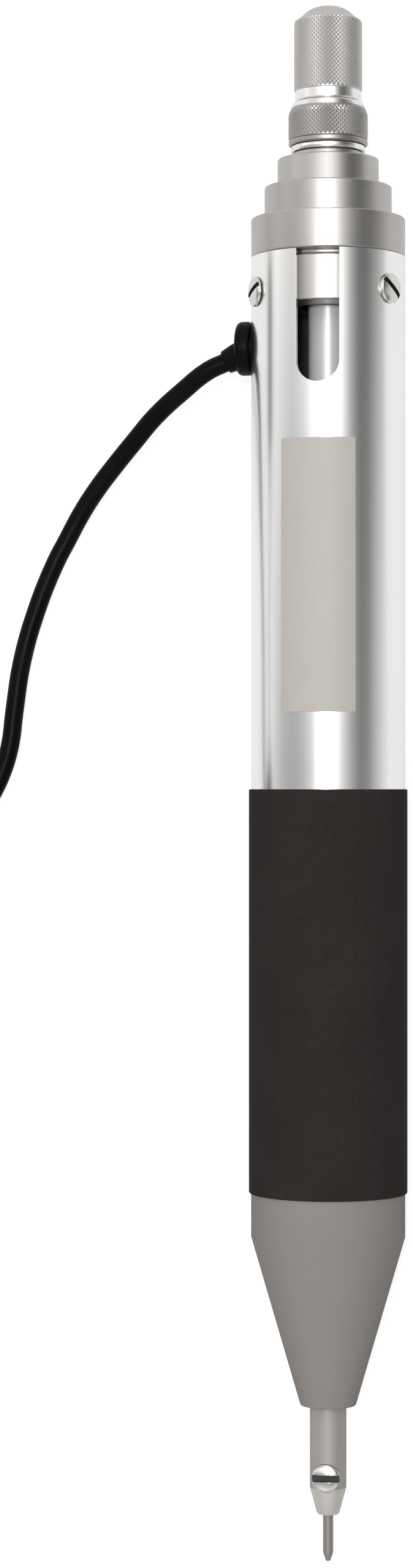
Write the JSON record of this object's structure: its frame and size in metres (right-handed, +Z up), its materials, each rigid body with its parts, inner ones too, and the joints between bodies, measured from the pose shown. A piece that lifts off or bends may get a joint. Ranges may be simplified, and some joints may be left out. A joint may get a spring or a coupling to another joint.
{
  "type": "electric engraving pen",
  "caption": "Hand-held electric engraving pen: slotted metal barrel with stepped cap, knurled stroke knob and lock nut, foam grip, nose cone, clamped needle and a wound lead with plug.",
  "frame": {"origin": "on the table, under the middle of the pen's length, at the foot of the pen's rear cap screw", "axes": "the pen lies along Y with its adjusting knob towards +Y and its needle towards -Y; +Z is up, and the barrel's window looks up; the wound lead and its plug lie on the -X side"},
  "size_m": [0.0851, 0.1616, 0.0168],
  "materials": {
    "polished_chrome": "polished",
    "turned_nickel": "fine turned, nickel plated",
    "satin_aluminium": "satin grey",
    "satin_steel": "satin",
    "bright_steel": "bright",
    "soft_iron": "machined",
    "brass": "turned",
    "enamelled_copper": "enamelled winding wire",
    "black_plastic": "moulded",
    "insulating_paper": "plain",
    "black_rubber": "slight gloss",
    "black_foam": "closed-cell foam, matte",
    "beige_label": "matte film"
  },
  "bodies": {
    "pen": {"barrel_tube": "polished_chrome", "end_cap": "turned_nickel", "cap_screw_left": "bright_steel", "cap_screw_right": "bright_steel", "cap_screw_rear": "bright_steel", "lock_washer": "bright_steel", "spacer_tube": "black_plastic", "coil_bobbin": "black_plastic", "coil_winding": "enamelled_copper", "insulating_sleeve": "insulating_paper", "pole_piece": "soft_iron", "snap_ring": "bright_steel", "inner_lead": "black_rubber", "return_spring": "bright_steel", "guide_bush": "brass", "stop_washer": "black_rubber", "nose_cone": "satin_aluminium", "foam_grip": "black_foam", "label_plate": "beige_label", "cord_grommet": "black_rubber", "cord_lead": "black_rubber", "cord_coil": "black_rubber", "cord_tail": "black_rubber", "plug_body": "black_plastic", "plug_pin": "brass"},
    "seat": {"spring_seat": "brass"},
    "knob": {"adjusting_knob": "turned_nickel", "adjusting_spindle": "bright_steel"},
    "nut": {"lock_nut": "turned_nickel"},
    "needle_bar": {"plunger": "soft_iron", "needle_holder": "satin_steel", "stop_collar": "bright_steel"},
    "clamp": {"clamp_screw": "bright_steel"},
    "tip": {"needle": "bright_steel"}
  },
  "joints": [
    {"name": "spring_seat_lift", "type": "slide", "parent": "pen", "child": "seat", "axis": [0, 1, 0], "range_m": [0, 0.00225]},
    {"name": "knob_turn", "type": "hinge", "parent": "seat", "child": "knob", "pos_m": [0, 0.076, 0.00855], "axis": [0, 1, 0], "range_deg": [0, 1080]},
    {"name": "lock_nut_turn", "type": "hinge", "parent": "pen", "child": "nut", "pos_m": [0, 0.06805, 0.00855], "axis": [0, 1, 0], "range_deg": [0, 120]},
    {"name": "needle_stroke", "type": "slide", "parent": "pen", "child": "needle_bar", "axis": [0, 1, 0], "range_m": [0, 0.0015], "stiffness_N_per_m": 1000, "springref_m": -0.003, "deforming": ["return_spring"]},
    {"name": "clamp_screw_turn", "type": "hinge", "parent": "needle_bar", "child": "clamp", "pos_m": [0, -0.07195, 0.00855], "axis": [-0.1736, 0, 0.9848], "range_deg": [0, 360]},
    {"name": "needle_slide", "type": "slide", "parent": "needle_bar", "child": "tip", "axis": [0, -1, 0], "range_m": [-0.002, 0.006]}
  ],
  "couplings": [
    {"joint": "knob_turn", "follows": "spring_seat_lift", "rad_per_m": 8377.6}
  ]
}
